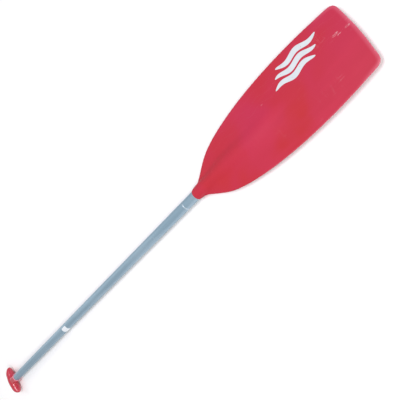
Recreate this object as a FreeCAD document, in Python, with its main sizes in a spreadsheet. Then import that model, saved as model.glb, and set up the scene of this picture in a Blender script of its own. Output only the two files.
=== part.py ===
"""Canoe paddle with one blade: aluminium tube shaft, moulded blade and moulded T grip.

The paddle lies flat. X runs along the shaft from the grip to the blade's tip, Y across the
blade and Z up. The origin is midway along the paddle, on the surface that it lies on.
Every body starts on the shaft's axis and is drawn from its own end, then placed along X.
"""
import FreeCAD, Part
import os
import Sketcher

doc = FreeCAD.newDocument("canoe_paddle")

# ---------------------------------------------------------------- driving dimensions, mm
SIZES = {
    # overall, along the shaft
    "blade_length": 507,        # blade's lip to its tip
    "shaft_visible": 1159,      # bare tube between the blade's lip and the grip's rim
    "grip_height": 58,          # grip's rim to its palm side
    # shaft tube
    "tube_diameter": 26,
    "tube_wall": 1.5,
    "groove_from_lip": 42,      # rolled groove that locks the lower plug
    "groove_width": 4,
    "groove_floor": 1.6,
    "groove_depth": 0.7,
    # joints between the tube and the mouldings
    "glue_gap": 0.25,           # radial, filled by the glue
    "glue_setback": 1,          # glue stops short of the mouth of each socket
    "socket_depth": 120,        # tube inside the blade
    "grip_socket_depth": 40,    # tube inside the grip
    # blade
    "blade_width": 174,
    "root_thickness": 8,        # at the neck
    "tip_thickness": 4.6,
    "rim_radius": 1.8,
    "lip_wall": 1,              # blade's wall round the tube at the lip
    "lip_flare": 10,            # length over which the lip thickens to the socket's wall
    "socket_wall": 3.25,
    "socket_floor": 4,          # solid plastic past the end of the tube
    "neck_swell": 1.5,          # socket wider than deep by this much on each side
    "spine_length": 300,        # lip to where the spine has sunk into the blade
    "spine_width": 32,          # where it sinks into the blade
    # T grip
    "grip_width": 102,
    "grip_thickness": 35,
    "grip_depth": 36,           # bar's depth along the shaft, in the middle
    "lobe_depth": 31,
    "lobe_thickness": 30,
    "grip_end_depth": 24,
    "grip_end_thickness": 23,
    "palm_fall": 18,            # palm side falls back this far at the bar's ends
    "collar_wall": 2.6,
    "collar_round": 1,
    # end plugs
    "plug_length": 32,
    "plug_wall": 2.2,
    "plug_floor": 3,
    "plug_flange": 2,
    "grip_plug_length": 14,
    # blind rivets
    "rivet_diameter": 4,
    "rivet_head": 8,
    "rivet_head_height": 1.1,
    "rivet_seat": 2,            # plastic left under the rivet's head
    "seat_clearance": 0.6,      # round the rivet's head in its recess
    "rivet_tail": 3.5,
    "rivet_tail_diameter": 6,
    "tail_lift": 0.2,           # the tail starts this far inside the tube's wall
    "tail_flare": 0.6,          # height over which it swells to its full width
    "mandrel_diameter": 2.2,
    "mandrel_head": 3.4,
    "mandrel_head_height": 1.6,
    "blade_rivet_from_lip": 34,
    "grip_rivet_from_rim": 13,
    # label
    "label_from_lip": 713,
    "label_length": 26,
    "label_thickness": 0.15,
    "label_wrap": 130,          # degrees round the tube
    "label_turn": 60,           # degrees from the top to the label's middle
}

# Blade's outline from the socket to the tip, as shares of its length and of its half width.
# The first two points sit inside the socket and follow its radius instead.
OUTLINE_SHARES = [
    (0.134, 0.537), (0.198, 0.716), (0.329, 0.897), (0.540, 1.020), (0.791, 0.988),
    (0.932, 0.892), (0.970, 0.884), (0.994, 0.800), (0.995, 0.585), (1.000, 0.217),
    (1.000, 0.000),
]

SPINE_STEPS = 5                 # sections that let the spine sink evenly into the blade

# ---------------------------------------------------------------- places worked out once
TUBE_RADIUS = "sizes.tube_diameter / 2"
TUBE_BORE = "(sizes.tube_diameter / 2 - sizes.tube_wall)"
SOCKET_BORE = "(sizes.tube_diameter / 2 + sizes.glue_gap)"
LIP_RADIUS = "(sizes.tube_diameter / 2 + sizes.glue_gap + sizes.lip_wall)"
SOCKET_RADIUS = "(sizes.tube_diameter / 2 + sizes.glue_gap + sizes.socket_wall)"
SEAT_RADIUS = "(sizes.tube_diameter / 2 + sizes.glue_gap + sizes.rivet_seat)"
TUBE_LENGTH = "(sizes.socket_depth + sizes.shaft_visible + sizes.grip_socket_depth)"
AXIS_HEIGHT = f"max({SOCKET_RADIUS}; sizes.grip_thickness / 2)"
LIP_X = "(sizes.shaft_visible + sizes.grip_height - sizes.blade_length) / 2"
RIM_X = "(sizes.grip_height - sizes.shaft_visible - sizes.blade_length) / 2"
TUBE_END_X = f"({LIP_X} + sizes.socket_depth)"
TUBE_TOP_X = f"({RIM_X} - sizes.grip_socket_depth)"


def make_sheet():
    sheet = doc.addObject("Spreadsheet::Sheet", "sizes")
    for row, (name, value) in enumerate(SIZES.items(), start=1):
        sheet.set(f"A{row}", name)
        sheet.set(f"B{row}", str(value))
        sheet.setAlias(f"B{row}", name)
    doc.recompute()
    return sheet


sizes = make_sheet()


def number(expression):
    """Value of an expression in the sheet's cells, for a sketch's first guess."""
    return float(sizes.evalExpression(str(expression)))


def make_body(label, x, turn=None):
    """Body whose origin lies on the shaft's axis at x, turned about that axis if asked."""
    body = doc.addObject("PartDesign::Body", label)
    body.Label = label
    body.setExpression("Placement.Base.x", x)
    body.setExpression("Placement.Base.z", AXIS_HEIGHT)
    if turn:
        body.Placement.Rotation = FreeCAD.Rotation(FreeCAD.Vector(1, 0, 0), number(turn))
        body.setExpression("Placement.Rotation.Angle", turn)
    return body


def origin_feature(body, role):
    return next(item for item in body.Origin.OriginFeatures if item.Role == role)


def new_sketch(body, name, plane, offset=None):
    sketch = body.newObject("Sketcher::SketchObject", f"{body.Label}_{name}")
    sketch.AttachmentSupport = (origin_feature(body, plane), "")
    sketch.MapMode = "FlatFace"
    if offset:
        sketch.setExpression("AttachmentOffset.Base.z", offset)
    return sketch


def bind(sketch, kind, where, expression):
    """Add a dimension to a sketch and tie it to the sheet."""
    index = sketch.addConstraint(Sketcher.Constraint(kind, *where, number(expression)))
    sketch.setExpression(f"Constraints[{index}]", str(expression))


def pin(sketch, geometry, point, x, y):
    """Fix one point of a sketch at (x, y) from its origin."""
    bind(sketch, "DistanceX", (-1, 1, geometry, point), x)
    bind(sketch, "DistanceY", (-1, 1, geometry, point), y)


def polygon(body, name, plane, corners):
    """Closed polygon through corners, each a pair of expressions."""
    sketch = new_sketch(body, name, plane)
    points = [FreeCAD.Vector(number(x), number(y), 0) for x, y in corners]
    for index, point in enumerate(points):
        following = points[(index + 1) % len(points)]
        sketch.addGeometry(Part.LineSegment(point, following), False)
        pin(sketch, index, 1, *corners[index])
    for index in range(len(points)):
        following = (index + 1) % len(points)
        sketch.addConstraint(Sketcher.Constraint("Coincident", index, 2, following, 1))
    return sketch


def circle(body, name, plane, radius, x="0", y="0", offset=None):
    sketch = new_sketch(body, name, plane, offset)
    centre = FreeCAD.Vector(number(x), number(y), 0)
    sketch.addGeometry(Part.Circle(centre, FreeCAD.Vector(0, 0, 1), number(radius)), False)
    pin(sketch, 0, 3, x, y)
    bind(sketch, "Radius", (0,), radius)
    return sketch


def ellipse(body, name, plane, half_width, half_depth, offset, x="0"):
    """Ellipse with its long axis along the sketch's X."""
    sketch = new_sketch(body, name, plane, offset)
    centre = FreeCAD.Vector(number(x), 0, 0)
    shape = Part.Ellipse(centre, number(half_width), number(half_depth))
    sketch.addGeometry(shape, False)
    sketch.exposeInternalGeometry(0)
    pin(sketch, 0, 3, x, "0")
    sketch.addConstraint(Sketcher.Constraint("Horizontal", 1))
    bind(sketch, "Distance", (1,), f"2 * ({half_width})")
    bind(sketch, "Distance", (2,), f"2 * ({half_depth})")
    return sketch


def revolve(body, name, sketch, angle="360"):
    """Turn a profile drawn on the XZ plane about the shaft's axis."""
    feature = body.newObject("PartDesign::Revolution", f"{body.Label}_{name}")
    feature.Profile = sketch
    feature.ReferenceAxis = (origin_feature(body, "X_Axis"), [""])
    feature.Midplane = True
    feature.setExpression("Angle", angle)
    return feature


def pad(body, name, sketch, length):
    feature = body.newObject("PartDesign::Pad", f"{body.Label}_{name}")
    feature.Profile = sketch
    feature.SideType = "Symmetric"
    feature.setExpression("Length", length)
    return feature


def loft(body, name, sections):
    feature = body.newObject("PartDesign::AdditiveLoft", f"{body.Label}_{name}")
    feature.Profile = sections[0]
    feature.Sections = sections[1:]
    return feature


def pocket(body, name, sketch, length, reverse=False, symmetric=False):
    """Cut a sketch down from its plane, and refuse a cut that misses the solid."""
    doc.recompute()
    before = body.Shape.Volume
    feature = body.newObject("PartDesign::Pocket", f"{body.Label}_{name}")
    feature.Profile = sketch
    feature.Reversed = reverse
    feature.SideType = "Symmetric" if symmetric else "One side"
    feature.setExpression("Length", length)
    doc.recompute()
    if body.Shape.Volume >= before:
        raise ValueError(f"{feature.Label} cuts nothing")
    return feature


def fillet(body, name, edges, radius):
    base = body.Tip
    feature = body.newObject("PartDesign::Fillet", f"{body.Label}_{name}")
    feature.Base = (base, [f"Edge{index}" for index in edges])
    feature.setExpression("Radius", radius)
    return feature


def edges_where(body, test):
    """Numbers of the edges of the body's shape, in its own frame, that pass a test."""
    doc.recompute()
    shape = body.Tip.Shape
    return [index for index, edge in enumerate(shape.Edges, start=1) if test(edge)]


def rivet_recess(body, x, outer_radius):
    """Hole for a rivet's shank from below, and a flat recess for its head."""
    hole = circle(body, "rivet_hole", "XY_Plane", "sizes.rivet_diameter / 2", x)
    pocket(body, "rivet_hole_cut", hole, outer_radius)
    recess = circle(body, "rivet_recess", "XY_Plane",
                    "sizes.rivet_head / 2 + sizes.seat_clearance", x,
                    offset=f"-{SEAT_RADIUS}")
    pocket(body, "rivet_recess_cut", recess, outer_radius)


# ---------------------------------------------------------------- blade
def blade_outline(body):
    """Plan shape: a smooth curve up one side to the tip, the same down the other side."""
    start = [("0.5 * sizes.lip_flare", f"0.8 * {LIP_RADIUS}"),
             ("1.5 * sizes.lip_flare", f"0.8 * {LIP_RADIUS}")]
    rest = [(f"{along} * sizes.blade_length", f"{across} * sizes.blade_width / 2")
            for along, across in OUTLINE_SHARES]
    side = start + rest
    sketch = new_sketch(body, "outline", "XY_Plane")
    left = side_curve(sketch, side)
    right = side_curve(sketch, [(x, f"-({y})") for x, y in side[:-1]] + side[-1:], free_end=True)
    start_points = [FreeCAD.Vector(number(start[0][0]), sign * number(start[0][1]), 0)
                    for sign in (1, -1)]
    chord = sketch.addGeometry(Part.LineSegment(*start_points), False)
    for joint in ((left, 1, chord, 1), (right, 1, chord, 2), (left, 2, right, 2)):
        sketch.addConstraint(Sketcher.Constraint("Coincident", *joint))
    return sketch


def side_curve(sketch, poles, free_end=False):
    """Cubic spline whose poles are pinned; a free end is left for a joint to place."""
    curve = Part.BSplineCurve()
    vectors = [FreeCAD.Vector(number(x), number(y), 0) for x, y in poles]
    curve.buildFromPoles(vectors, False, 3)
    spline = sketch.addGeometry(curve, False)
    sketch.exposeInternalGeometry(spline)
    pinned = poles[:-1] if free_end else poles
    for index, (x, y) in enumerate(pinned, start=1):
        pin(sketch, spline + index, 3, x, y)
    return spline


def taper_plate(body):
    """Thin the plate evenly from the neck to the tip, on both faces."""
    root, tip = "sizes.root_thickness / 2", "sizes.tip_thickness / 2"
    beyond = "sizes.blade_length + 1"
    for name, sign in (("upper_taper", ""), ("lower_taper", "-")):
        wedge = polygon(body, name, "XZ_Plane", [
            ("0", f"{sign}({root})"), (beyond, f"{sign}({tip})"),
            (beyond, f"{sign}({root} + 1)"), ("0", f"{sign}({root} + 1)")])
        pocket(body, f"{name}_cut", wedge, "2 * sizes.blade_width", symmetric=True)


def blade_spine(body):
    """Socket round the tube, running on as a ridge that sinks into the plate."""
    floor = "(sizes.socket_depth + sizes.socket_floor)"
    swollen = f"({SOCKET_RADIUS} + sizes.neck_swell)"
    full = f"({SOCKET_RADIUS} - 0.5)"
    sections = [
        ("0", LIP_RADIUS, LIP_RADIUS),
        ("sizes.lip_flare", full, full),
        ("3 * sizes.lip_flare", swollen, SOCKET_RADIUS),
        (floor, swollen, full),
    ]
    for step in range(1, SPINE_STEPS + 1):
        share = step / SPINE_STEPS
        sunk = share * share * (3 - 2 * share)
        place = f"{floor} + {share} * (sizes.spine_length - {floor})"
        half_width = f"{1 - share} * {swollen} + {share} * sizes.spine_width / 2"
        half_depth = f"{1 - sunk} * {full} + {sunk} * sizes.tip_thickness / 2"
        sections.append((place, half_width, half_depth))
    rings = [ellipse(body, f"spine_{index}", "YZ_Plane", half_width, half_depth, place)
             for index, (place, half_width, half_depth) in enumerate(sections)]
    loft(body, "spine", rings)


def make_blade():
    """Moulded polypropylene blade with the socket that takes the tube."""
    body = make_body("blade", LIP_X)
    pad(body, "plate", blade_outline(body), "sizes.root_thickness")
    taper_plate(body)
    half_length = number("sizes.blade_length") / 2
    rim = edges_where(body, lambda edge: edge.Length > half_length)
    fillet(body, "rim", rim, "sizes.rim_radius")
    blade_spine(body)
    bore = circle(body, "socket", "YZ_Plane", SOCKET_BORE)
    pocket(body, "socket_bore", bore, "sizes.socket_depth", reverse=True)
    rivet_recess(body, "sizes.blade_rivet_from_lip", "sizes.tube_diameter")
    return body


# ---------------------------------------------------------------- shaft tube
def make_shaft_tube():
    """Anodised tube with a rolled groove near the blade and a rivet hole near each end."""
    body = make_body("shaft_tube", TUBE_END_X)
    groove = "(sizes.socket_depth + sizes.groove_from_lip)"
    slope = "(sizes.groove_width / 2)"
    flat = "(sizes.groove_floor / 2)"
    outside = [("0", TUBE_RADIUS), (f"-({groove} - {slope})", TUBE_RADIUS),
               (f"-({groove} - {flat})", f"{TUBE_RADIUS} - sizes.groove_depth"),
               (f"-({groove} + {flat})", f"{TUBE_RADIUS} - sizes.groove_depth"),
               (f"-({groove} + {slope})", TUBE_RADIUS), (f"-{TUBE_LENGTH}", TUBE_RADIUS)]
    inside = [(x, f"{radius} - sizes.tube_wall") for x, radius in reversed(outside)]
    revolve(body, "wall", polygon(body, "profile", "XZ_Plane", outside + inside))
    blade_hole = "-(sizes.socket_depth - sizes.blade_rivet_from_lip)"
    grip_hole = f"-({TUBE_LENGTH} - sizes.grip_socket_depth + sizes.grip_rivet_from_rim)"
    for name, x in (("blade_rivet_hole", blade_hole), ("grip_rivet_hole", grip_hole)):
        hole = circle(body, name, "XY_Plane", "sizes.rivet_diameter / 2", x)
        pocket(body, f"{name}_cut", hole, "sizes.tube_diameter")
    return body


# ---------------------------------------------------------------- T grip
def grip_bar(body):
    """Bar across the shaft: a fat middle, two lobes and rounded ends that fall back."""
    stations = [
        (0.00, "0", "sizes.grip_depth / 2", "sizes.grip_thickness / 2"),
        (0.48, "0.02 * sizes.palm_fall", "sizes.lobe_depth / 2", "sizes.lobe_thickness / 2"),
        (0.84, "0.43 * sizes.palm_fall", "sizes.grip_end_depth / 2",
         "sizes.grip_end_thickness / 2"),
        (1.00, "sizes.palm_fall", "0.3 * sizes.grip_end_depth",
         "0.3 * sizes.grip_end_thickness"),
    ]
    across = [(-share, *rest) for share, *rest in reversed(stations[1:])] + stations
    rings = [ellipse(body, f"bar_{index}", "XZ_Plane", half_depth, half_thickness,
                     f"{share} * sizes.grip_width / 2",
                     x=f"{fall} + {half_depth} - sizes.grip_height")
             for index, (share, fall, half_depth, half_thickness) in enumerate(across)]
    loft(body, "bar", rings)


def make_t_grip():
    """Moulded T grip with a collar that takes the top of the tube."""
    body = make_body("t_grip", RIM_X)
    grip_bar(body)
    collar = f"({SOCKET_BORE} + sizes.collar_wall)"
    deep = "-(sizes.grip_height - sizes.grip_depth / 2)"
    revolve(body, "collar", polygon(body, "collar_profile", "XZ_Plane", [
        ("0", "0"), ("0", f"{collar} - sizes.collar_round"),
        ("-sizes.collar_round", collar), (deep, collar), (deep, "0")]))
    bore = circle(body, "socket", "YZ_Plane", SOCKET_BORE)
    pocket(body, "socket_bore", bore, "sizes.grip_socket_depth + sizes.plug_flange")
    rivet_recess(body, "-sizes.grip_rivet_from_rim", "sizes.tube_diameter")
    return body


# ---------------------------------------------------------------- plugs and glue
def make_lower_plug():
    """Cup pressed into the tube and held by the rolled groove; it keeps the water out."""
    body = make_body("lower_plug", f"({LIP_X} - sizes.groove_from_lip)")
    end, slope, flat = ("(sizes.plug_length / 2)", "(sizes.groove_width / 2)",
                        "(sizes.groove_floor / 2)")
    waist = f"{TUBE_BORE} - sizes.groove_depth"
    cup = f"{TUBE_BORE} - sizes.groove_depth - sizes.plug_wall"
    revolve(body, "cup", polygon(body, "profile", "XZ_Plane", [
        (end, "0"), (end, TUBE_BORE), (slope, TUBE_BORE), (flat, waist),
        (f"-{flat}", waist), (f"-{slope}", TUBE_BORE), (f"-{end}", TUBE_BORE),
        (f"-{end}", cup), (f"{end} - sizes.plug_floor", cup),
        (f"{end} - sizes.plug_floor", "0")]))
    return body


def make_grip_plug():
    """Flanged cup that closes the top of the tube, inside the grip."""
    body = make_body("grip_plug", TUBE_TOP_X)
    cup = f"{TUBE_BORE} - sizes.plug_wall"
    revolve(body, "cup", polygon(body, "profile", "XZ_Plane", [
        ("-sizes.plug_flange", "0"), ("-sizes.plug_flange", TUBE_RADIUS), ("0", TUBE_RADIUS),
        ("0", TUBE_BORE), ("sizes.grip_plug_length", TUBE_BORE),
        ("sizes.grip_plug_length", cup), ("sizes.plug_floor", cup), ("sizes.plug_floor", "0")]))
    return body


def make_glue(label, mouth_x, direction, depth, hole):
    """Film of glue between the tube and a socket, open round the rivet's shank."""
    body = make_body(label, mouth_x)
    near, far = f"{direction}sizes.glue_setback", f"{direction}({depth})"
    revolve(body, "film", polygon(body, "profile", "XZ_Plane", [
        (near, TUBE_RADIUS), (near, SOCKET_BORE), (far, SOCKET_BORE), (far, TUBE_RADIUS)]))
    gap = circle(body, "rivet_gap", "XY_Plane", "sizes.rivet_diameter / 2", f"{direction}{hole}")
    pocket(body, "rivet_gap_cut", gap, "sizes.tube_diameter")
    return body


# ---------------------------------------------------------------- rivets
def make_rivet(label, x):
    """Body of a blind rivet: domed head below, shank, and a tail swollen inside the tube."""
    body = make_body(label, x)
    shank, head = "sizes.rivet_diameter / 2", "sizes.rivet_head / 2"
    bore, tail = "sizes.mandrel_diameter / 2", "sizes.rivet_tail_diameter / 2"
    seat, crown = f"-{SEAT_RADIUS}", f"-({SEAT_RADIUS} + sizes.rivet_head_height)"
    inner = f"-({TUBE_BORE})"
    profile = polygon(body, "profile", "XZ_Plane", [
        (bore, crown), (f"0.55 * {head}", crown),
        (head, f"-({SEAT_RADIUS} + 0.35 * sizes.rivet_head_height)"), (head, seat),
        (shank, seat), (shank, f"{inner} + sizes.tail_lift"),
        (tail, f"{inner} + sizes.tail_lift + sizes.tail_flare"),
        (tail, f"{inner} + sizes.rivet_tail - 1"), (shank, f"{inner} + sizes.rivet_tail"),
        (bore, f"{inner} + sizes.rivet_tail")])
    spin(body, "turned", profile)
    return body


def make_mandrel(label, x):
    """Steel pin left in the rivet: its head spreads the tail and its stem is broken off."""
    body = make_body(label, x)
    stem, head = "sizes.mandrel_diameter / 2", "sizes.mandrel_head / 2"
    top = f"-({TUBE_BORE}) + sizes.rivet_tail"
    profile = polygon(body, "profile", "XZ_Plane", [
        ("0", f"-({SEAT_RADIUS} + 0.4 * sizes.rivet_head_height)"),
        (stem, f"-({SEAT_RADIUS} + 0.4 * sizes.rivet_head_height)"), (stem, top), (head, top),
        (head, f"{top} + 0.6 * sizes.mandrel_head_height"),
        (f"0.5 * {head}", f"{top} + sizes.mandrel_head_height"),
        ("0", f"{top} + sizes.mandrel_head_height")])
    spin(body, "turned", profile)
    return body


def spin(body, name, sketch):
    """Turn a profile about the body's upright axis."""
    feature = body.newObject("PartDesign::Revolution", f"{body.Label}_{name}")
    feature.Profile = sketch
    feature.ReferenceAxis = (origin_feature(body, "Z_Axis"), [""])
    feature.Angle = 360
    return feature


# ---------------------------------------------------------------- label
def make_label():
    """Thin printed label stuck part of the way round the tube."""
    body = make_body("shaft_label", f"({LIP_X} - sizes.label_from_lip)", "sizes.label_turn")
    outer = f"{TUBE_RADIUS} + sizes.label_thickness"
    strip = polygon(body, "profile", "XZ_Plane", [
        ("0", TUBE_RADIUS), ("-sizes.label_length", TUBE_RADIUS),
        ("-sizes.label_length", outer), ("0", outer)])
    revolve(body, "strip", strip, "sizes.label_wrap")
    return body


# ---------------------------------------------------------------- the paddle
def write_parts(pieces):
    doc.recompute()
    broken = [item.Label for item in doc.Objects
              if "Invalid" in item.State or "Error" in item.State]
    broken += [piece.Label for piece in pieces
               if piece.Shape.isNull() or not piece.Shape.isValid()]
    if broken:
        raise ValueError(f"these did not build: {broken}")
    os.makedirs("parts", exist_ok=True)
    for piece in pieces:
        piece.Shape.exportStep(f"parts/{piece.Label}.step")


BLADE_RIVET_X = f"({LIP_X} + sizes.blade_rivet_from_lip)"
GRIP_RIVET_X = f"({RIM_X} - sizes.grip_rivet_from_rim)"

write_parts([
    make_blade(),
    make_shaft_tube(),
    make_t_grip(),
    make_lower_plug(),
    make_grip_plug(),
    make_glue("blade_glue", LIP_X, "", "sizes.socket_depth", "sizes.blade_rivet_from_lip"),
    make_glue("grip_glue", RIM_X, "-", "sizes.grip_socket_depth", "sizes.grip_rivet_from_rim"),
    make_rivet("blade_rivet", BLADE_RIVET_X),
    make_mandrel("blade_rivet_mandrel", BLADE_RIVET_X),
    make_rivet("grip_rivet", GRIP_RIVET_X),
    make_mandrel("grip_rivet_mandrel", GRIP_RIVET_X),
    make_label(),
])
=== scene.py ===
"""Canoe paddle: moulded blade, anodised tube shaft and moulded T grip, lying on a pale floor."""
import bmesh
import bpy
import numpy as np
from mathutils import Euler, Matrix, Vector


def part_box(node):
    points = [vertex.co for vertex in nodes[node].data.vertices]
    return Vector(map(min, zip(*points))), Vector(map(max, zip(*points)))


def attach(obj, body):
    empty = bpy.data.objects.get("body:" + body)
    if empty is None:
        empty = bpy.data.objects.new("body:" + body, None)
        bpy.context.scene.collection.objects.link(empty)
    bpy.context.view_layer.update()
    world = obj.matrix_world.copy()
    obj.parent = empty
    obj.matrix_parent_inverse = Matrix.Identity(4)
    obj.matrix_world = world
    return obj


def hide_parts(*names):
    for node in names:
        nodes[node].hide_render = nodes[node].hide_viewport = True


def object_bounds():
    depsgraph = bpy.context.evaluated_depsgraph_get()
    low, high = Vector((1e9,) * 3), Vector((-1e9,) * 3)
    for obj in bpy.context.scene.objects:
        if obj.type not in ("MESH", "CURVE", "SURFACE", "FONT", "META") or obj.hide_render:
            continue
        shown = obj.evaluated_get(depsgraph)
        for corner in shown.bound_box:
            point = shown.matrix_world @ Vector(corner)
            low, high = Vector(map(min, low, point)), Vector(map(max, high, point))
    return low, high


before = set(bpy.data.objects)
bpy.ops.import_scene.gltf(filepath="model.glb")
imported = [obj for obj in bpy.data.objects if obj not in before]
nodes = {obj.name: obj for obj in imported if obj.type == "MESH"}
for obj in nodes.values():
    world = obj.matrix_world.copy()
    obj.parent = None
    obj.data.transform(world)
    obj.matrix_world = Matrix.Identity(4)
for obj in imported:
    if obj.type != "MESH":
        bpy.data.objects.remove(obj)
cad_low, cad_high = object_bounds()

# ---------------------------------------------------------------- floor, light and camera
# A sheet of matt white paper under the paddle, three soft boxes and a bright room.
# The paddle lies on the back of its grip and of the blade's neck.
FLOOR_SIZE = 14.0
FLOOR_GAP = 0.0004                          # keeps the paper from touching the paddle
ROOM_LIGHT = 0.60
LENS, SENSOR = 43.55, 36                    # mm
EYE = Vector((1.0078, -0.3563, 0.9088))
EYE_TURN = (-8.882, 38.687, -41.540)        # degrees about X, Y and Z

floor_mesh = bpy.data.meshes.new("floor")
half = FLOOR_SIZE / 2
floor_mesh.from_pydata([(-half, -half, 0), (half, -half, 0), (half, half, 0), (-half, half, 0)],
                       [], [(0, 1, 2, 3)])
floor_mesh.transform(Matrix.Translation((0, 0, cad_low.z - FLOOR_GAP)))
floor = bpy.data.objects.new("floor", floor_mesh)
bpy.context.scene.collection.objects.link(floor)
paper = bpy.data.materials.new("white_paper")
paper.use_nodes = True
paper_shader = paper.node_tree.nodes["Principled BSDF"]
paper_shader.inputs["Base Color"].default_value = (0.93, 0.93, 0.935, 1)
paper_shader.inputs["Roughness"].default_value = 0.9
paper_shader.inputs["Specular IOR Level"].default_value = 0.1
floor_mesh.materials.append(paper)

world = bpy.data.worlds.new("bright_room")
world.use_nodes = True
world.node_tree.nodes["Background"].inputs["Color"].default_value = (1.0, 1.0, 1.0, 1)
world.node_tree.nodes["Background"].inputs["Strength"].default_value = ROOM_LIGHT
bpy.context.scene.world = world


def soft_box(name, place, target, size, power, colour=(1, 1, 1)):
    """Square area light at a place, turned towards a target."""
    light = bpy.data.lights.new(name, "AREA")
    light.shape, light.size, light.energy, light.color = "SQUARE", size, power, colour
    lamp = bpy.data.objects.new(name, light)
    lamp.location = place
    lamp.rotation_euler = (Vector(target) - Vector(place)).to_track_quat("-Z", "Y").to_euler()
    bpy.context.scene.collection.objects.link(lamp)


soft_box("key_box", (2.1, -2.0, 2.6), (0.2, 0, 0), 1.6, 58)
soft_box("side_box", (-2.6, 1.7, 1.5), (0, 0, 0), 1.4, 14)
soft_box("grip_box", (0.7, 0.0, 2.1), (-0.84, 0, 0), 0.8, 22, (1.0, 0.95, 1.0))

camera = bpy.data.objects.new("camera", bpy.data.cameras.new("camera"))
camera.data.lens, camera.data.sensor_width = LENS, SENSOR
camera.data.clip_start, camera.data.clip_end = 0.05, 50
camera.location = EYE
camera.rotation_euler = Euler([np.radians(turn) for turn in EYE_TURN], "XYZ")
bpy.context.scene.collection.objects.link(camera)
bpy.context.scene.camera = camera
bpy.context.scene.view_settings.view_transform = "Standard"

# ---------------------------------------------------------------- blade
# One injection moulding in red polypropylene: a flat tapering plate, a socket for the tube and
# a ridge that carries the socket's stiffness into the plate before it sinks away.
# The tube is glued 120 mm into the socket and riveted through the underside of the neck.
MM = 0.001
BLADE = {"length": 507, "half_width": 87, "bore": 13.25, "bore_depth": 120,
         "root": 4.0, "tip": 2.3, "rim_round": 3.2, "crown": 0.12}
NECK = {"lip": 14.25, "wide": 18.0, "deep": 16.5, "edge": 0.35, "edge_length": 0.7,
        "wall_growth": 1.6, "wall_length": 11, "flare": (6, 34)}
RIDGE = {"spread": 0.95, "spread_along": (22, 125), "narrow": 2.0, "narrow_along": (124, 300),
         "fade_along": (105, 345), "round_power": 0.5, "bell_power": 1.25,
         "bell_along": (18, 80)}
SWELL = {"height": 5.0, "rise_along": (30, 80), "fall_along": (190, 380), "width": 41}
PLATE_START = (4, 40)                       # mm from the lip where the plate grows out of it
LIP_POINTS, SIDE_POINTS, TIP_POINTS = 80, 1600, 400    # the last ones run across the tip
PACE = {"lip": 5, "lip_reach": 10, "tip": 1.6, "tip_reach": 22}    # more rows where it bends
FAN = {"start": 400, "reach": 70}           # rows of faces fan out towards the tip from here
ROWS_ALONG, ACROSS = 224, 44
CREASE = 0.6                                # radians, past which an edge stays sharp
OUTLINE = [(5, 11.4), (15, 11.4)] + [
    (along * BLADE["length"], across * BLADE["half_width"]) for along, across in (
        (0.134, 0.537), (0.198, 0.716), (0.329, 0.897), (0.540, 1.020), (0.791, 0.988),
        (0.932, 0.892), (0.970, 0.884), (0.994, 0.800), (0.995, 0.585), (1.0, 0.217), (1.0, 0.0))]
RIVET_SEAT = {"hole": 2.0, "recess": 4.6, "seat": 15.25, "beyond": 22, "inside": 12}
axis_z = sum(corner.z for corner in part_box("shaft_tube")) / 2
lip_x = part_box("blade")[0].x


def ease(value, start, end):
    """0 before start, 1 after end, smooth between."""
    share = np.clip((value - start) / (end - start), 0, 1)
    return share * share * (3 - 2 * share)


def spline_points(poles, count):
    """Points along the clamped cubic spline that the poles shape."""
    poles = np.array(poles, float)
    spans = len(poles) - 3
    knots = np.concatenate([[0] * 3, np.arange(spans + 1), [spans] * 3]).astype(float)
    at = np.minimum(np.linspace(0, spans, count), spans - 1e-9)
    basis = [((low <= at) & (at < high)).astype(float) for low, high in zip(knots, knots[1:])]
    for degree in (1, 2, 3):
        raised = []
        for i in range(len(basis) - 1):
            rise, fall = knots[i + degree] - knots[i], knots[i + degree + 1] - knots[i + 1]
            part = (at - knots[i]) / rise * basis[i] if rise else 0 * at
            if fall:
                part = part + (knots[i + degree + 1] - at) / fall * basis[i + 1]
            raised.append(part)
        basis = raised
    return np.array(basis).T @ poles


def neck_round(x):
    """Growth of the socket from its thin lip to its full wall."""
    lip = NECK["edge"] * (1 - np.sqrt(1 - (1 - np.clip(x / NECK["edge_length"], 0, 1)) ** 2))
    wall = NECK["wall_growth"] * (1 - (1 - np.clip(x / NECK["wall_length"], 0, 1)) ** 2)
    return NECK["lip"] - lip + wall


def socket_half(size, x):
    """Half width ("wide") or half depth ("deep") of the socket."""
    growth = NECK[size] - NECK["lip"] - NECK["wall_growth"]
    return neck_round(x) + growth * ease(x, *NECK["flare"])


side = spline_points(OUTLINE, SIDE_POINTS)
edge_x = np.concatenate([np.linspace(0, OUTLINE[0][0], LIP_POINTS, endpoint=False), side[:, 0]])
edge_y = np.concatenate([np.zeros(LIP_POINTS), side[:, 1]])
near = edge_x < BLADE["bore_depth"]
edge_y = np.where(near, (edge_y ** 10 + socket_half("wide", edge_x) ** 10) ** 0.1, edge_y)
walked = np.concatenate([[0], np.cumsum(np.hypot(np.diff(edge_x), np.diff(edge_y)))])
corner = walked[np.argmax(edge_x > 0.975 * BLADE["length"])]
density = (1 + PACE["lip"] * np.exp(-walked / PACE["lip_reach"])
           + PACE["tip"] * np.exp(-((walked - corner) / PACE["tip_reach"]) ** 2))
pace = np.concatenate([[0], np.cumsum((density[1:] + density[:-1]) / 2 * np.diff(walked))])
rows = np.interp(np.linspace(0, pace[-1], ROWS_ALONG), pace, walked)
rim = np.stack([np.interp(rows, walked, edge_x), np.interp(rows, walked, edge_y)], 1)
fan_row = np.interp(FAN["start"], rim[:, 0], rows)
fan = np.clip((rows - fan_row) / (rows[-1] - fan_row), 0, 1)
spine_x = np.where(fan > 0, FAN["start"] + FAN["reach"] * (1 - (1 - fan) ** 2), rim[:, 0])
even = np.linspace(0, walked[-1], 700)
edge_curve = np.stack([np.interp(even, walked, edge_x), np.interp(even, walked, edge_y)], 1)


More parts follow.
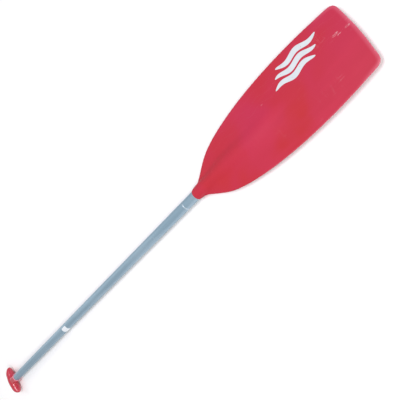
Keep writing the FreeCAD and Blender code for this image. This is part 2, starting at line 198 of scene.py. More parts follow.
def from_rim(x, y):
    """Distance in mm from points of the blade to its outline, in chunks that spare memory."""
    points = np.stack([np.ravel(x), np.abs(np.ravel(y))], 1)
    nearest = [np.sqrt(((chunk[:, None] - edge_curve[None]) ** 2).sum(2).min(1))
               for chunk in np.array_split(points, 40)]
    return np.concatenate(nearest).reshape(np.shape(x))


def blade_half_thickness(x, y):
    """Plate with a rounded rim, and the ridge that grows out of it."""
    half_width = np.interp(x, edge_x[:-TIP_POINTS], edge_y[:-TIP_POINTS])
    wide = socket_half("wide", x) - RIDGE["narrow"] * ease(x, *RIDGE["narrow_along"])
    wide = wide * (1 + RIDGE["spread"] * ease(x, *RIDGE["spread_along"]))
    high = socket_half("deep", x) * (1 - ease(x, *RIDGE["fade_along"]))
    power = RIDGE["round_power"] + RIDGE["bell_power"] * ease(x, *RIDGE["bell_along"])
    ridge = high * np.clip(1 - (y / wide) ** 2, 0, 1) ** power
    plate = BLADE["root"] + (BLADE["tip"] - BLADE["root"]) * x / BLADE["length"]
    plate = plate * (1 - BLADE["crown"] * np.clip(y / half_width, 0, 1) ** 2)
    swell = (SWELL["height"] * ease(x, *SWELL["rise_along"]) * (1 - ease(x, *SWELL["fall_along"]))
             * np.exp(-(y / SWELL["width"]) ** 2))
    inward = np.clip(from_rim(x, y) / BLADE["rim_round"], 0, 1)
    sheet = (plate + swell) * np.sqrt(1 - (1 - inward) ** 2) * ease(x, *PLATE_START)
    return (sheet ** 3 + ridge ** 3) ** (1 / 3)


def closed_mesh(name, points, faces, merge=1e-6):
    """Mesh in metres with doubles merged, normals outward and its creases sharp."""
    mesh = bpy.data.meshes.new(name)
    mesh.from_pydata([tuple(point) for point in points], [], faces)
    shape = bmesh.new()
    shape.from_mesh(mesh)
    bmesh.ops.remove_doubles(shape, verts=shape.verts, dist=merge)
    bmesh.ops.dissolve_degenerate(shape, edges=shape.edges, dist=merge)
    bmesh.ops.recalc_face_normals(shape, faces=shape.faces)
    shape.to_mesh(mesh)
    shape.free()
    mark_creases(mesh)
    return mesh


def mark_creases(mesh):
    """Smooth faces, with edges sharp where they bend by more than a crease."""
    shape = bmesh.new()
    shape.from_mesh(mesh)
    for face in shape.faces:
        face.smooth = True
    for edge in shape.edges:
        edge.smooth = len(edge.link_faces) != 2 or edge.calc_face_angle(0) < CREASE
    shape.to_mesh(mesh)
    shape.free()


def place(name, mesh, replaced, slot, material):
    """Object that stands for a CAD node, rides with the paddle and wears a material."""
    piece = bpy.data.objects.new(name, mesh)
    bpy.context.scene.collection.objects.link(piece)
    mesh.materials.clear()
    mesh.materials.append(material)
    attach(piece, "root")
    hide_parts(replaced)


def turned(profile, count=64):
    """Points and faces of a solid turned about its own Z from (radius, height) pairs in mm."""
    angles = np.linspace(0, 2 * np.pi, count, endpoint=False)
    points = [(radius * np.cos(a), radius * np.sin(a), height)
              for radius, height in profile for a in angles]
    faces = [(r * count + k, r * count + (k + 1) % count,
              (r + 1) * count + (k + 1) % count, (r + 1) * count + k)
             for r in range(len(profile) - 1) for k in range(count)]
    return np.array(points), faces


def plain_object(name, mesh):
    """Object that helps to make a piece and is removed afterwards."""
    item = bpy.data.objects.new(name, mesh)
    bpy.context.scene.collection.objects.link(item)
    return item


def cut_from(mesh, cutters):
    """Mesh with each cutter's shape taken out of it."""
    body = plain_object("body", mesh)
    tools = [plain_object("cutter", cutter) for cutter in cutters]
    for tool in tools:
        step = body.modifiers.new("cut", "BOOLEAN")
        step.operation, step.solver, step.object = "DIFFERENCE", "EXACT", tool
    result = bpy.data.meshes.new_from_object(
        body.evaluated_get(bpy.context.evaluated_depsgraph_get()))
    for item in [body, *tools]:
        bpy.data.objects.remove(item)
    mark_creases(result)
    return result


def rivet_cutter(x):
    """Stepped tool for a rivet's shank and the recess of its head, below the axis at x metres."""
    seat = RIVET_SEAT
    points, faces = turned([
        (0, -seat["inside"]), (seat["hole"], -seat["inside"]), (seat["hole"], -seat["seat"]),
        (seat["recess"], -seat["seat"]), (seat["recess"], -seat["beyond"]),
        (0, -seat["beyond"])], 48)
    return closed_mesh("rivet_cutter", points * MM + (x, 0, axis_z), faces)


share = np.sin(np.pi / 2 * np.arange(ACROSS + 1) / ACROSS)
grid_x = spine_x[:, None] * (1 - share) + rim[:, :1] * share
grid_y = rim[:, 1:] * share
grid_z = blade_half_thickness(grid_x, grid_y)
grid_z[:, -1] = 0
grid_z[0] = grid_y[0, -1] * np.cos(np.pi / 2 * np.arange(ACROSS + 1) / ACROSS)
lip_radius = grid_y[0, -1]
inner = [(BLADE["bore_depth"], 0.0), (BLADE["bore_depth"], BLADE["bore"] / lip_radius),
         (0.25, BLADE["bore"] / lip_radius), (0.0, (BLADE["bore"] + 0.2) / lip_radius)]
grid_x = np.concatenate([[np.full(ACROSS + 1, x) for x, scale in inner], grid_x])
grid_y = np.concatenate([[grid_y[0] * scale for x, scale in inner], grid_y])
grid_z = np.concatenate([[grid_z[0] * scale for x, scale in inner], grid_z])
blade_points, blade_faces = [], []
for y_side, z_side in ((1, 1), (1, -1), (-1, 1), (-1, -1)):
    start = len(blade_points) * grid_x.size
    blade_points.append(np.stack([grid_x, y_side * grid_y, z_side * grid_z], 2).reshape(-1, 3))
    for r in range(grid_x.shape[0] - 1):
        for c in range(ACROSS):
            low = start + r * (ACROSS + 1) + c
            blade_faces.append((low, low + 1, low + ACROSS + 2, low + ACROSS + 1))
blade_origin = np.array([lip_x, 0, axis_z])
blade_mesh = closed_mesh("blade", np.concatenate(blade_points) * MM + blade_origin, blade_faces)
rivet_x = sum(corner.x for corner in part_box("blade_rivet")) / 2
blade_mesh = cut_from(blade_mesh, [rivet_cutter(rivet_x)])
final = np.empty(len(blade_mesh.vertices) * 3)
blade_mesh.vertices.foreach_get("co", final)
final = (final.reshape(-1, 3) - blade_origin) / MM
rim_layer = blade_mesh.attributes.new("rim_mm", "FLOAT", "POINT")
rim_layer.data.foreach_set("value", from_rim(final[:, 0], final[:, 1]).astype(np.float32))


class Value:
    """Number from a node's socket, for sums that add their own Math nodes."""

    def __init__(self, finish, socket):
        self.finish, self.socket = finish, socket

    def calc(self, operation, first, second=None):
        values = {0: first} if second is None else {0: first, 1: second}
        return self.finish.node("ShaderNodeMath", {"operation": operation}, values)

    def __add__(self, other): return self.calc("ADD", self, other)
    def __radd__(self, other): return self.calc("ADD", other, self)
    def __sub__(self, other): return self.calc("SUBTRACT", self, other)
    def __rsub__(self, other): return self.calc("SUBTRACT", other, self)
    def __mul__(self, other): return self.calc("MULTIPLY", self, other)
    def __rmul__(self, other): return self.calc("MULTIPLY", other, self)
    def __truediv__(self, other): return self.calc("DIVIDE", self, other)
    def __rtruediv__(self, other): return self.calc("DIVIDE", other, self)
    def __pow__(self, other): return self.calc("POWER", self, other)
    def __abs__(self): return self.calc("ABSOLUTE", self)


class Finish:
    """Material under construction, with its Principled shader."""

    def __init__(self, name, **constants):
        self.material = bpy.data.materials.new(name)
        self.material.use_nodes = True
        self.tree = self.material.node_tree
        self.shader = self.tree.nodes["Principled BSDF"]
        for socket, value in constants.items():
            self.shader.inputs[socket.replace("_", " ")].default_value = value

    def node(self, kind, settings=None, values=None, out=0):
        """Any node: its type, its settings, and the values or links of its sockets."""
        made = self.tree.nodes.new(kind)
        for setting, value in (settings or {}).items():
            setattr(made, setting, value)
        for socket, value in (values or {}).items():
            self.feed(made.inputs[socket], value)
        return Value(self, made.outputs[out])

    def feed(self, socket, value):
        if isinstance(value, Value):
            self.tree.links.new(value.socket, socket)
        else:
            socket.default_value = value

    def coordinates(self, scale=(1, 1, 1), origin=(0, 0, 0), turn=(0, 0, 0)):
        """Object coordinates less an origin, turned, then stretched."""
        moved = self.node("ShaderNodeVectorMath", {"operation": "SUBTRACT"}, {
            0: self.node("ShaderNodeTexCoord", out="Object"), 1: origin})
        return self.node("ShaderNodeMapping", {"vector_type": "POINT"},
                         {"Vector": moved, "Rotation": turn, "Scale": scale})

    def split(self, vector):
        """X, Y and Z of a vector."""
        return [self.node("ShaderNodeSeparateXYZ", None, {0: vector}, axis) for axis in range(3)]

    def noise(self, vector, size, detail=3, rough=0.5, distortion=0.0):
        return self.node("ShaderNodeTexNoise", None, {
            "Vector": vector, "Scale": size, "Detail": detail, "Roughness": rough,
            "Distortion": distortion})

    def step(self, value, low, high, to_low=0.0, to_high=1.0):
        """Smooth step of a value from low to high."""
        return self.node("ShaderNodeMapRange", {"interpolation_type": "SMOOTHSTEP"}, {
            0: value, 1: low, 2: high, 3: to_low, 4: to_high})

    def mix(self, factor, first, second):
        """Colour between two colours."""
        return self.node("ShaderNodeMix", {"data_type": "RGBA", "blend_type": "MIX"},
                         {0: factor, 6: first, 7: second}, 2)

    def bump(self, height, depth, under=None):
        """Normal pushed by a height; depth is in metres."""
        values = {"Height": height, "Distance": depth, "Strength": 1.0}
        if under is not None:
            values["Normal"] = under
        return self.node("ShaderNodeBump", None, values)

    def wear(self, **sockets):
        """Feed the shader's sockets, and hand over the finished material."""
        for socket, value in sockets.items():
            self.feed(self.shader.inputs[socket.replace("_", " ")], value)
        return self.material


def scratches(finish, origin, scale, turn, size, thin=0.035):
    """Mask of fine broken scratches that run along the stretched direction."""
    lines = finish.noise(finish.coordinates(scale, origin, turn), size, 2, 0.4, 0.3)
    return 1 - finish.step(abs(lines - 0.5), 0.0, thin)


PRINT = {"middle": (380, 47), "lean": 3.0, "half_length": 53, "gap": 16.0, "shift": 12.0,
         "thick": 6.2, "wave": 3.4, "wave_length": 62}
# Metres from the lip and from the axis, length and width in metres, turn, strength.
SCUFFS = [(0.471, 0.026, 0.010, 0.0035, 0.7, 1.0), (0.477, 0.021, 0.007, 0.0018, -0.4, 1.0),
          (0.497, 0.020, 0.008, 0.0030, 0.2, 1.0), (0.272, 0.035, 0.005, 0.0016, 0.5, 0.4),
          (0.467, -0.080, 0.016, 0.0030, 0.15, 0.6)]

red = Finish("moulded_red_polypropylene", IOR=1.49, Specular_IOR_Level=0.14, Coat_Roughness=0.25)
flat = red.coordinates((1, 1, 1), tuple(blade_origin))
along, across, up = red.split(flat)
rim_mm = red.node("ShaderNodeAttribute", {"attribute_name": "rim_mm"}, None, "Fac")
# Random mottling, plus painted sheen: the +Y half of the blade is made pinker.
mottle_and_sheen = (0.65 * red.step(red.noise(flat, 7.0, 2, 0.5, 0.4), 0.36, 0.64)
          + 0.35 * red.step(across, -0.06, 0.04))
streaks = red.noise(red.coordinates((6, 34, 34), tuple(blade_origin)), 1.0, 3, 0.5)
colour = red.mix(mottle_and_sheen, (0.440, 0.023, 0.032, 1), (0.452, 0.026, 0.068, 1))
colour = red.mix(red.step(streaks, 0.45, 0.8, 0, 0.35) * red.step(along, 0.10, 0.28), colour,
                 (0.520, 0.032, 0.072, 1))
thin_rim = (1 - red.step(rim_mm, 0.4, 2.2)) * red.step(along, 0.1, 0.3)
# Painted highlight: a paler line along the blade's rim on its outer part; the same rim band also
# places the real edge nicks.
colour = red.mix(thin_rim * 0.35, colour, (0.68, 0.16, 0.22, 1))
# Painted sheen: a paler border along the edge of the tip.
tip_painted_sheen = (1 - red.step(rim_mm, 0.5, 9.0)) * red.step(along, 0.44, 0.50)
colour = red.mix(tip_painted_sheen * 0.32, colour, (0.68, 0.19, 0.27, 1))
grain = red.noise(flat, 900, 2, 0.6)
orange_peel = red.noise(flat, 120, 2, 0.5)
toe = red.step(along, 0.36, 0.50)
rub = scratches(red, tuple(blade_origin), (5, 60, 60), (0, 0, 0.35), 2.2, 0.022)
rub_other = scratches(red, tuple(blade_origin), (60, 6, 60), (0, 0, 0.9), 2.0, 0.018)
patchy = red.step(red.noise(flat, 16, 3, 0.6), 0.52, 0.66)
rubbed = (rub + rub_other) * patchy * (0.10 + 0.55 * toe) * red.step(along, 0.16, 0.30)


def scuff_spot(x, y, length, width, turn):
    """Soft-edged patch, broken up by fine noise, where the blade has hit something."""
    near = red.coordinates((1 / length, 1 / width, 0.0), (lip_x + x, y, axis_z), (0, 0, turn))
    far = red.node("ShaderNodeVectorMath", {"operation": "LENGTH"}, {0: near}, "Value")
    ragged = red.noise(red.coordinates((1, 2.2, 1), (0, 0, 0), (0, 0, turn)), 420, 3, 0.7)
    return (1 - red.step(far, 0.3, 1.0)) * red.step(ragged, 0.46, 0.58)


scuffs = sum(scuff_spot(*spot) * strength for *spot, strength in SCUFFS)
edge_nicks = thin_rim * red.step(red.noise(flat, 210, 3, 0.6), 0.58, 0.70) * toe
worn = red.node("ShaderNodeMath", {"operation": "MINIMUM"},
                {0: rubbed * 0.40 + scuffs * 0.8 + edge_nicks * 0.8, 1: 1.0})
colour = red.mix(worn * 0.60, colour, (0.78, 0.52, 0.56, 1))

print_x, print_y = PRINT["middle"]
mark = red.coordinates((1, 1, 1), (lip_x + print_x * MM, print_y * MM, axis_z),
                       (0, 0, np.radians(PRINT["lean"])))
mark_x, mark_y = red.split(mark)[:2]
swing = red.node("ShaderNodeMath", {"operation": "SINE"},
                 {0: mark_x * (2 * np.pi / (PRINT["wave_length"] * MM))})
inked = 0.0
for band in (-1, 0, 1):
    reach = 1 - ((mark_x - band * PRINT["shift"] * MM) / (PRINT["half_length"] * MM)) ** 2
    reach = red.node("ShaderNodeMath", {"operation": "MAXIMUM"}, {0: reach, 1: 0.0})
    off = abs(mark_y - band * PRINT["gap"] * MM - swing * PRINT["wave"] * MM)
    inside = red.step(off - reach ** 0.5 * PRINT["thick"] * MM, -0.0003, 0.0001, 1.0, 0.0)
    inked = inked + inside
flaked = red.step(red.noise(flat, 260, 3, 0.65), 0.66, 0.72)
inked = inked * (1 - flaked * 0.8) * red.step(up, 0.0, 0.001) * (1 - worn * 0.6)
ink_tone = red.noise(flat, 60, 2, 0.5)
colour = red.mix(inked, colour, red.mix(ink_tone, (0.52, 0.57, 0.61, 1), (0.61, 0.66, 0.69, 1)))
rough = 0.37 + 0.10 * red.noise(flat, 24, 3, 0.6) + 0.16 * worn + 0.10 * inked
rough = rough + 0.24 * (1 - red.step(along, 0.12, 0.27))
relief = red.bump(orange_peel, 0.00004)
relief = red.bump(grain, 0.000012, relief)
relief = red.bump(worn * -1.0, 0.00006, relief)
relief = red.bump(inked, 0.00002, relief)
blade_red = red.wear(Base_Color=colour, Roughness=rough, Normal=relief,
                     Coat_Weight=0.05 * (1 - inked) * (1 - worn))
place("blade_moulding", blade_mesh, "blade", "blade_plastic", blade_red)

# ---------------------------------------------------------------- shaft tube
# Drawn aluminium tube, 26 mm outside with a 1.5 mm wall, anodised blue grey.
# A shallow groove is rolled into it near the blade and locks the plug behind it.
TUBE = {"radius": 13.0, "wall": 1.5, "groove_depth": 0.7, "groove_half_width": 1.7}
ROWS, ROUND = 120, 96
ROW_STRETCH = 4.0                           # mm; rows are closest together at the groove
tube_low, tube_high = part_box("shaft_tube")
plug_low, plug_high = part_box("lower_plug")
groove_x = (plug_low.x + plug_high.x) / 2

tree = bpy.data.node_groups.new("rolled_tube", "GeometryNodeTree")
tree.interface.new_socket("Geometry", in_out="OUTPUT", socket_type="NodeSocketGeometry")
before = float(np.arcsinh((groove_x - tube_low.x) / (ROW_STRETCH * MM)))
after = float(np.arcsinh((tube_high.x - groove_x) / (ROW_STRETCH * MM)))
INPUTS = {"Outside Radius": TUBE["radius"] * MM, "Wall": TUBE["wall"] * MM,
          "Groove Place": groove_x, "Groove Depth": TUBE["groove_depth"] * MM,
          "Groove Half Width": TUBE["groove_half_width"] * MM, "Axis Height": axis_z,
          "Row Spacing": ROW_STRETCH * MM, "Rows Before": before, "Rows After": after}
for label in INPUTS:
    tree.interface.new_socket(label, in_out="INPUT", socket_type="NodeSocketFloat")
tree.interface.new_socket("Finish", in_out="INPUT", socket_type="NodeSocketMaterial")
given = tree.nodes.new("NodeGroupInput")
taken = tree.nodes.new("NodeGroupOutput")


def geo(kind, settings=None, values=None, out=0):
    """Geometry node: its type, its settings, and the values or links of its sockets."""
    made = tree.nodes.new(kind)
    for setting, value in (settings or {}).items():
        setattr(made, setting, value)
    for socket, value in (values or {}).items():
        if isinstance(value, bpy.types.NodeSocket):
            tree.links.new(value, made.inputs[socket])
        else:
            made.inputs[socket].default_value = value
    return made.outputs[out]


def tube_maths(operation, first, second=0.0):
    """Math node on sockets or numbers of the tube's tree."""
    return geo("ShaderNodeMath", {"operation": operation}, {0: first, 1: second})


sheet = geo("GeometryNodeMeshGrid", None, {"Size X": 1.0, "Size Y": 1.0,
                                           "Vertices X": ROUND + 1, "Vertices Y": 2 * ROWS})
spot = geo("GeometryNodeInputPosition")
spot_x, spot_y = (geo("ShaderNodeSeparateXYZ", None, {0: spot}, axis) for axis in (0, 1))
angle = tube_maths("MULTIPLY", spot_x, 2 * np.pi)
row = tube_maths("ROUND", tube_maths("MULTIPLY", tube_maths("ADD", spot_y, 0.5), 2 * ROWS - 1))
on_inside = tube_maths("GREATER_THAN", row, ROWS - 0.5)
mirrored = tube_maths("MINIMUM", row, tube_maths("SUBTRACT", 2 * ROWS - 1, row))
spread = tube_maths("MULTIPLY", tube_maths("DIVIDE", mirrored, ROWS - 1),
                    tube_maths("ADD", given.outputs["Rows Before"], given.outputs["Rows After"]))
reach = tube_maths("MULTIPLY", given.outputs["Row Spacing"],
                   tube_maths("SINH", tube_maths("SUBTRACT", spread, given.outputs["Rows Before"])))
bowl = tube_maths("POWER", tube_maths("DIVIDE", reach, given.outputs["Groove Half Width"]), 2.0)
sunk = tube_maths("MULTIPLY", given.outputs["Groove Depth"],
                  tube_maths("EXPONENT", tube_maths("MULTIPLY", bowl, -1.0)))
radius = tube_maths("SUBTRACT", tube_maths("SUBTRACT", given.outputs["Outside Radius"], sunk),
                    tube_maths("MULTIPLY", on_inside, given.outputs["Wall"]))
wrapped = geo("ShaderNodeCombineXYZ", None, {
    0: tube_maths("ADD", given.outputs["Groove Place"], reach),
    1: tube_maths("MULTIPLY", radius, tube_maths("COSINE", angle)),
    2: tube_maths("ADD", given.outputs["Axis Height"],
                  tube_maths("MULTIPLY", radius, tube_maths("SINE", angle)))})
rolled = geo("GeometryNodeSetPosition", None, {"Geometry": sheet, "Position": wrapped})
joined = geo("GeometryNodeMergeByDistance", None, {"Geometry": rolled, "Distance": 0.00001})
smooth = geo("GeometryNodeSetShadeSmooth", None, {"Geometry": joined})
real = geo("GeometryNodeRealizeInstances", None, {"Geometry": smooth})
tree.links.new(geo("GeometryNodeSetMaterial", None, {
    "Geometry": real, "Material": given.outputs["Finish"]}), taken.inputs[0])

tube_metal = Finish("anodised_tube", Metallic=0.42, IOR=1.5)
tube_flat = tube_metal.coordinates((1, 1, 1), (0, 0, axis_z))
tube_x, tube_y, tube_z = tube_metal.split(tube_flat)
draw_lines = tube_metal.noise(tube_metal.coordinates((3, 900, 900), (0, 0, axis_z)), 1.0, 3, 0.6)
long_wear = tube_metal.noise(tube_metal.coordinates((4, 120, 120), (0, 0, axis_z)), 1.0, 3, 0.55)
hands = tube_metal.noise(tube_metal.coordinates((2.2, 30, 30), (0, 0, axis_z)), 1.0, 2, 0.5, 0.4)
tone = tube_metal.mix(tube_metal.step(long_wear, 0.35, 0.68),
                      (0.225, 0.332, 0.412, 1), (0.272, 0.388, 0.474, 1))
tone = tube_metal.mix(tube_metal.step(hands, 0.42, 0.7, 0, 0.45), tone, (0.38, 0.48, 0.55, 1))
rings = scratches(tube_metal, (0, 0, axis_z), (160, 8, 8), (0, 0, 0.05), 2.0, 0.012)
ring_patches = tube_metal.step(tube_metal.noise(tube_flat, 9, 3, 0.6), 0.55, 0.68)
nicks = rings * ring_patches
# Painted highlight: a pale band just short of the groove, on the -Y side and the middle of the
# tube.
bright = 1 - tube_metal.step(abs(tube_x - (groove_x - 0.0016)), 0.0003, 0.0018)
bright = bright * tube_metal.step(tube_y * -1.0, -0.010, 0.000)
tone = tube_metal.mix(nicks * 0.5, tone, (0.66, 0.70, 0.73, 1))
# Painted shade: brownish dark patches along the underside of the tube.
underside_painted_shade = tube_metal.step(tube_z * -1.0, 0.001, 0.010) * tube_metal.step(hands, 0.25, 0.6)
tone = tube_metal.mix(underside_painted_shade * 0.6, tone, (0.150, 0.140, 0.135, 1))
tone = tube_metal.mix(bright * 0.45, tone, (0.80, 0.84, 0.88, 1))
tube_metal.wear(Base_Color=tone,
                Roughness=0.38 + 0.12 * draw_lines + 0.10 * long_wear - 0.10 * bright,
                Normal=tube_metal.bump(nicks * -1.0, 0.00003,
                                       tube_metal.bump(draw_lines, 0.00001)))

maker = plain_object("tube_maker", bpy.data.meshes.new("tube_maker"))
rolling = maker.modifiers.new("rolled_tube", "NODES")
rolling.node_group = tree
sockets = {item.name: item.identifier for item in tree.interface.items_tree}
for label, value in INPUTS.items():
    rolling[sockets[label]] = value
rolling[sockets["Finish"]] = tube_metal.material
tube_mesh = bpy.data.meshes.new_from_object(
    maker.evaluated_get(bpy.context.evaluated_depsgraph_get()))
maker.modifiers.remove(rolling)
bpy.data.objects.remove(maker)
place("shaft_tube_drawn", tube_mesh, "shaft_tube", "anodised_tube", tube_metal.material)

# ---------------------------------------------------------------- T grip
# Moulded in glossy red plastic: a bar for the palm with two full lobes, and a collar that is
# glued and riveted over the top of the tube. A fine mould line runs round its middle.
GRIP = {"half_width": 51, "collar": 15.85, "bore": 13.25, "bore_depth": 42,
        "collar_length": 30, "middle": -41.5, "fall_back": 9.5, "end_from": 0.70}
BAR_DEPTH = (16.8, 1.9, 3.0)                # half size at the middle, and what goes after it
BAR_THICK = (17.2, 2.1, 3.4)
BAR_ROUND, BAR_ROWS = 56, 81
VOXEL, SOFTENING = 0.0009, 14               # metres, and passes that melt bar and collar together
rim_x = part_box("t_grip")[1].x


def bar_ring(u):
    """Ring of points round the bar at a share u of its half width."""
    out = abs(u)
    past = max(0.0, out - GRIP["end_from"]) / (1 - GRIP["end_from"])
    end = np.sqrt(max(0.0, 1 - past ** 2))
    full, first, last = BAR_DEPTH
    half_depth = (full - first * ease(out, 0.0, 0.45) - last * ease(out, 0.45, 0.95)) * end
    full, first, last = BAR_THICK
    half_thick = (full - first * ease(out, 0.05, 0.55) - last * ease(out, 0.5, 0.95)) * end
    middle = GRIP["middle"] + GRIP["fall_back"] * out ** 4
    turns = np.linspace(0, 2 * np.pi, BAR_ROUND, endpoint=False)
    return np.stack([middle + half_depth * np.cos(turns),
                     np.full(BAR_ROUND, u * GRIP["half_width"]), half_thick * np.sin(turns)], 1)


shares = np.sin(np.linspace(-np.pi / 2, np.pi / 2, BAR_ROWS))
bar_points = np.concatenate([bar_ring(u) for u in shares])
bar_faces = [(r * BAR_ROUND + k, r * BAR_ROUND + (k + 1) % BAR_ROUND,
              (r + 1) * BAR_ROUND + (k + 1) % BAR_ROUND, (r + 1) * BAR_ROUND + k)
             for r in range(BAR_ROWS - 1) for k in range(BAR_ROUND)]
collar_points, collar_faces = turned([
    (0, 0), (GRIP["collar"] - 1.2, 0), (GRIP["collar"] - 0.4, -0.4), (GRIP["collar"], -1.4),
    (GRIP["collar"], -GRIP["collar_length"]), (0, -GRIP["bore_depth"])])
collar_points = collar_points[:, [2, 0, 1]]
grip_origin = np.array([rim_x, 0, axis_z])
solid = np.concatenate([bar_points, collar_points])
joined_faces = bar_faces + [tuple(k + len(bar_points) for k in face) for face in collar_faces]
grip_blank = plain_object("grip_blank", closed_mesh("grip_blank", solid * MM, joined_faces))
voxels = grip_blank.modifiers.new("one_skin", "REMESH")
voxels.mode, voxels.voxel_size, voxels.adaptivity = "VOXEL", VOXEL, 0.0
soften = grip_blank.modifiers.new("soften", "SMOOTH")
soften.factor, soften.iterations = 0.5, SOFTENING
grip_mesh = bpy.data.meshes.new_from_object(
    grip_blank.evaluated_get(bpy.context.evaluated_depsgraph_get()))
bpy.data.objects.remove(grip_blank)
skin = np.empty(len(grip_mesh.vertices) * 3)
grip_mesh.vertices.foreach_get("co", skin)
grip_mesh.vertices.foreach_set("co", (skin.reshape(-1, 3) + grip_origin).ravel())
bore_points, bore_faces = turned([
    (0, 3), (GRIP["bore"] + 0.5, 3), (GRIP["bore"] + 0.5, 0.3), (GRIP["bore"], -0.4),
    (GRIP["bore"], -GRIP["bore_depth"]), (0, -GRIP["bore_depth"])], 96)
bore = closed_mesh("bore", bore_points[:, [2, 0, 1]] * MM + grip_origin, bore_faces)
grip_rivet_x = sum(corner.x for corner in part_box("grip_rivet")) / 2
grip_mesh = cut_from(grip_mesh, [bore, rivet_cutter(grip_rivet_x)])

gloss = Finish("glossy_red_grip", IOR=1.5, Specular_IOR_Level=0.6, Coat_Roughness=0.20)
held = gloss.coordinates((1, 1, 1), tuple(grip_origin))
held_x, held_y, held_z = gloss.split(held)
swirl = gloss.step(gloss.noise(held, 32, 2, 0.5, 0.6), 0.38, 0.66)
skin_tone = gloss.mix(swirl, (0.465, 0.005, 0.026, 1), (0.495, 0.008, 0.050, 1))
palm = gloss.step(held_x, -0.040, -0.056)
handled = gloss.step(gloss.noise(held, 70, 3, 0.6), 0.48, 0.62) * palm
ends = gloss.step(abs(held_y), 0.041, 0.050)
knocks = ends * gloss.step(gloss.noise(held, 240, 3, 0.6), 0.60, 0.68)
hair_lines = scratches(gloss, tuple(grip_origin), (90, 12, 90), (0.3, 0.0, 0.4), 3.0, 0.016)
hair_lines = hair_lines * gloss.step(gloss.noise(held, 40, 2, 0.5), 0.5, 0.62)
parting = 1 - gloss.step(abs(held_z), 0.00012, 0.00040)
skin_tone = gloss.mix(handled * 0.08, skin_tone, (0.66, 0.10, 0.16, 1))
skin_tone = gloss.mix(knocks * 0.30 + hair_lines * 0.05, skin_tone, (0.78, 0.44, 0.50, 1))
# Painted highlight: a pale pink ring on the last two millimetres of the collar at its rim.
collar_rim_painted_highlight = gloss.step(held_x, -0.0026, -0.0008)
skin_tone = gloss.mix(collar_rim_painted_highlight * 0.70, skin_tone, (0.80, 0.36, 0.47, 1))
peel = gloss.noise(held, 150, 1, 0.4)
grip_relief = gloss.bump(peel, 0.00002)
grip_relief = gloss.bump(parting, 0.00009, grip_relief)
grip_relief = gloss.bump((knocks + hair_lines) * -1.0, 0.00001, grip_relief)
gloss.wear(Base_Color=skin_tone, Normal=grip_relief,
           Roughness=0.18 + 0.05 * swirl + 0.08 * handled + 0.14 * knocks,
           Coat_Weight=0.75 * (1 - handled * 0.5))
place("t_grip_moulding", grip_mesh, "t_grip", "grip_plastic", gloss.material)

# ---------------------------------------------------------------- shaft label
# White vinyl film with rounded corners, stuck part of the way round the tube. It is blank.
# Its edges have picked up a little grime and its face is lightly scratched.
LABEL = {"corner": 4.0, "film": 0.15, "wrap": 130.0, "turn": 60.0}
label_low, label_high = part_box("shaft_label")
label_x = (label_low.x + label_high.x) / 2
half_long = (label_high.x - label_low.x) / 2 / MM
half_arc = np.radians(LABEL["wrap"] / 2) * TUBE["radius"]
SPOKES, RINGS = 96, 12


def label_edge(turn):
    """Point of a rectangle with rounded corners, in the direction of a turn."""
    reach = np.array([half_long, half_arc]) - LABEL["corner"]
    walk = np.linspace(0, 1, 2001)[:-1] * 2 * np.pi
    ring = np.sign(np.stack([np.cos(walk), np.sin(walk)], 1)) * reach
    ring = ring + LABEL["corner"] * np.stack([np.cos(walk), np.sin(walk)], 1)
    around = np.unwrap(np.arctan2(ring[:, 1] / half_arc, ring[:, 0] / half_long))
    return np.array([np.interp(turn, around, ring[:, 0], period=2 * np.pi),
                     np.interp(turn, around, ring[:, 1], period=2 * np.pi)])


edge_points = np.array([label_edge(t) for t in np.linspace(0, 2 * np.pi, SPOKES, endpoint=False)])
film_points, film_faces = [], []
for skin_radius in (TUBE["radius"] + LABEL["film"], TUBE["radius"] - 0.02):
    for ring in range(RINGS + 1):
        for point in edge_points * ring / RINGS:
            bend = np.radians(LABEL["turn"]) + point[1] / TUBE["radius"]
            film_points.append((label_x / MM + point[0], -skin_radius * np.sin(bend),
                                axis_z / MM + skin_radius * np.cos(bend)))
side_size = (RINGS + 1) * SPOKES
for layer in (0, side_size):
    film_faces += [(layer + r * SPOKES + k, layer + r * SPOKES + (k + 1) % SPOKES,
                    layer + (r + 1) * SPOKES + (k + 1) % SPOKES, layer + (r + 1) * SPOKES + k)
                   for r in range(RINGS) for k in range(SPOKES)]
last = RINGS * SPOKES
film_faces += [(last + k, last + (k + 1) % SPOKES, side_size + last + (k + 1) % SPOKES,
                side_size + last + k) for k in range(SPOKES)]
label_mesh = closed_mesh("label", np.array(film_points) * MM, film_faces, 1e-7)

vinyl = Finish("white_vinyl_film", IOR=1.46)
film = vinyl.coordinates((1, 1, 1), (label_x, 0, axis_z))
film_x = vinyl.split(film)[0]
grime_edge = vinyl.step(abs(film_x), 0.0095, 0.0130)
grime = vinyl.step(vinyl.noise(film, 320, 3, 0.6), 0.42, 0.7) * (0.25 + 0.75 * grime_edge)
white = vinyl.mix(vinyl.noise(film, 90, 2), (0.66, 0.71, 0.76, 1), (0.74, 0.78, 0.82, 1))
white = vinyl.mix(grime * 0.4, white, (0.46, 0.48, 0.50, 1))
film_lines = scratches(vinyl, (label_x, 0, axis_z), (300, 20, 20), (0, 0, 0.1), 1.5, 0.02)
white = vinyl.mix(film_lines * 0.25, white, (0.52, 0.56, 0.60, 1))
vinyl.wear(Base_Color=white, Roughness=0.34 + 0.2 * grime + 0.15 * film_lines,
           Normal=vinyl.bump(film_lines * -1.0, 0.00001,
                             vinyl.bump(vinyl.noise(film, 500, 2), 0.00001)))
place("shaft_label_film", label_mesh, "shaft_label", "label_film", vinyl.material)

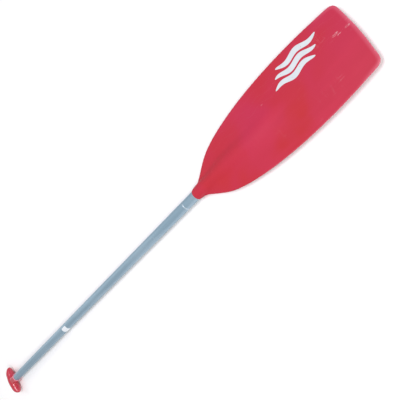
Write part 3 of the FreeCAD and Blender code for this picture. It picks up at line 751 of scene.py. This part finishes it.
# ---------------------------------------------------------------- rivets
# Two blind rivets, one through the neck and one through the grip's collar, both underneath.
# Each is a soft alloy body pulled up by a steel pin, whose broken end stays in the head.
alloy = Finish("bright_rivet_alloy", Metallic=1.0)
for_alloy = alloy.coordinates((1, 1, 1), (0, 0, 0))
dulled = alloy.step(alloy.noise(for_alloy, 260, 4, 0.6), 0.38, 0.68)
pressed = alloy.noise(alloy.coordinates((700, 700, 90)), 1.0, 3, 0.6)
alloy_tone = alloy.mix(dulled, (0.78, 0.79, 0.80, 1), (0.55, 0.56, 0.57, 1))
alloy.wear(Base_Color=alloy_tone, Roughness=0.26 + 0.24 * dulled + 0.08 * pressed,
           Normal=alloy.bump(pressed, 0.00002))
steel = Finish("broken_steel_pin", Metallic=1.0)
for_steel = steel.coordinates((1, 1, 1), (0, 0, 0))
fracture = steel.noise(for_steel, 2200, 4, 0.7)
rust = steel.step(steel.noise(for_steel, 500, 3, 0.6), 0.55, 0.7)
steel_tone = steel.mix(fracture, (0.30, 0.30, 0.31, 1), (0.48, 0.48, 0.48, 1))
steel_tone = steel.mix(rust * 0.55, steel_tone, (0.20, 0.09, 0.04, 1))
steel.wear(Base_Color=steel_tone, Roughness=0.42 + 0.25 * fracture + 0.2 * rust,
           Normal=steel.bump(fracture, 0.00006))


def wear_on_node(name, finish):
    """Give a CAD node's slots a finished material."""
    mesh = nodes[name].data
    if not mesh.materials:
        mesh.materials.append(finish.material)
    for index in range(len(mesh.materials)):
        mesh.materials[index] = finish.material


for place_name in ("blade", "grip"):
    wear_on_node(f"{place_name}_rivet", alloy)
    wear_on_node(f"{place_name}_rivet_mandrel", steel)

# ---------------------------------------------------------------- plugs
# Black polyethylene cups. One is pressed in behind the rolled groove and keeps water out of
# the shaft, the other closes the top of the tube inside the grip.
black = Finish("black_polyethylene", IOR=1.5)
for_black = black.coordinates((1, 1, 1), (0, 0, axis_z))
waxy = black.noise(for_black, 60, 3, 0.6)
scored = scratches(black, (0, 0, axis_z), (20, 400, 400), (0, 0, 0), 1.0, 0.03)
black_tone = black.mix(waxy, (0.030, 0.030, 0.033, 1), (0.060, 0.060, 0.064, 1))
black_tone = black.mix(scored * 0.4, black_tone, (0.13, 0.13, 0.135, 1))
black.wear(Base_Color=black_tone, Roughness=0.46 + 0.18 * waxy + 0.1 * scored,
           Normal=black.bump(scored * -1.0, 0.00003,
                             black.bump(black.noise(for_black, 900), 0.00001)))
wear_on_node("lower_plug", black)
wear_on_node("grip_plug", black)

# ---------------------------------------------------------------- glue
# Cured adhesive films between the tube and its two sockets, cloudy amber with small bubbles.
# A thin line of it can be seen round the tube at the mouth of each socket.
amber = Finish("cured_adhesive", IOR=1.52)
for_amber = amber.coordinates((1, 1, 1), (0, 0, axis_z))
bubbles = amber.node("ShaderNodeTexVoronoi", {"feature": "F1"},
                     {"Vector": for_amber, "Scale": 900.0}, "Distance")
bubble = 1 - amber.step(bubbles, 0.12, 0.30)
cloud = amber.noise(for_amber, 120, 3, 0.6)
amber_tone = amber.mix(cloud, (0.50, 0.42, 0.27, 1), (0.68, 0.62, 0.48, 1))
amber_tone = amber.mix(bubble * 0.5, amber_tone, (0.80, 0.77, 0.68, 1))
amber.wear(Base_Color=amber_tone, Roughness=0.30 + 0.25 * cloud,
           Normal=amber.bump(bubble * -1.0, 0.00004))
wear_on_node("blade_glue", amber)
wear_on_node("grip_glue", amber)
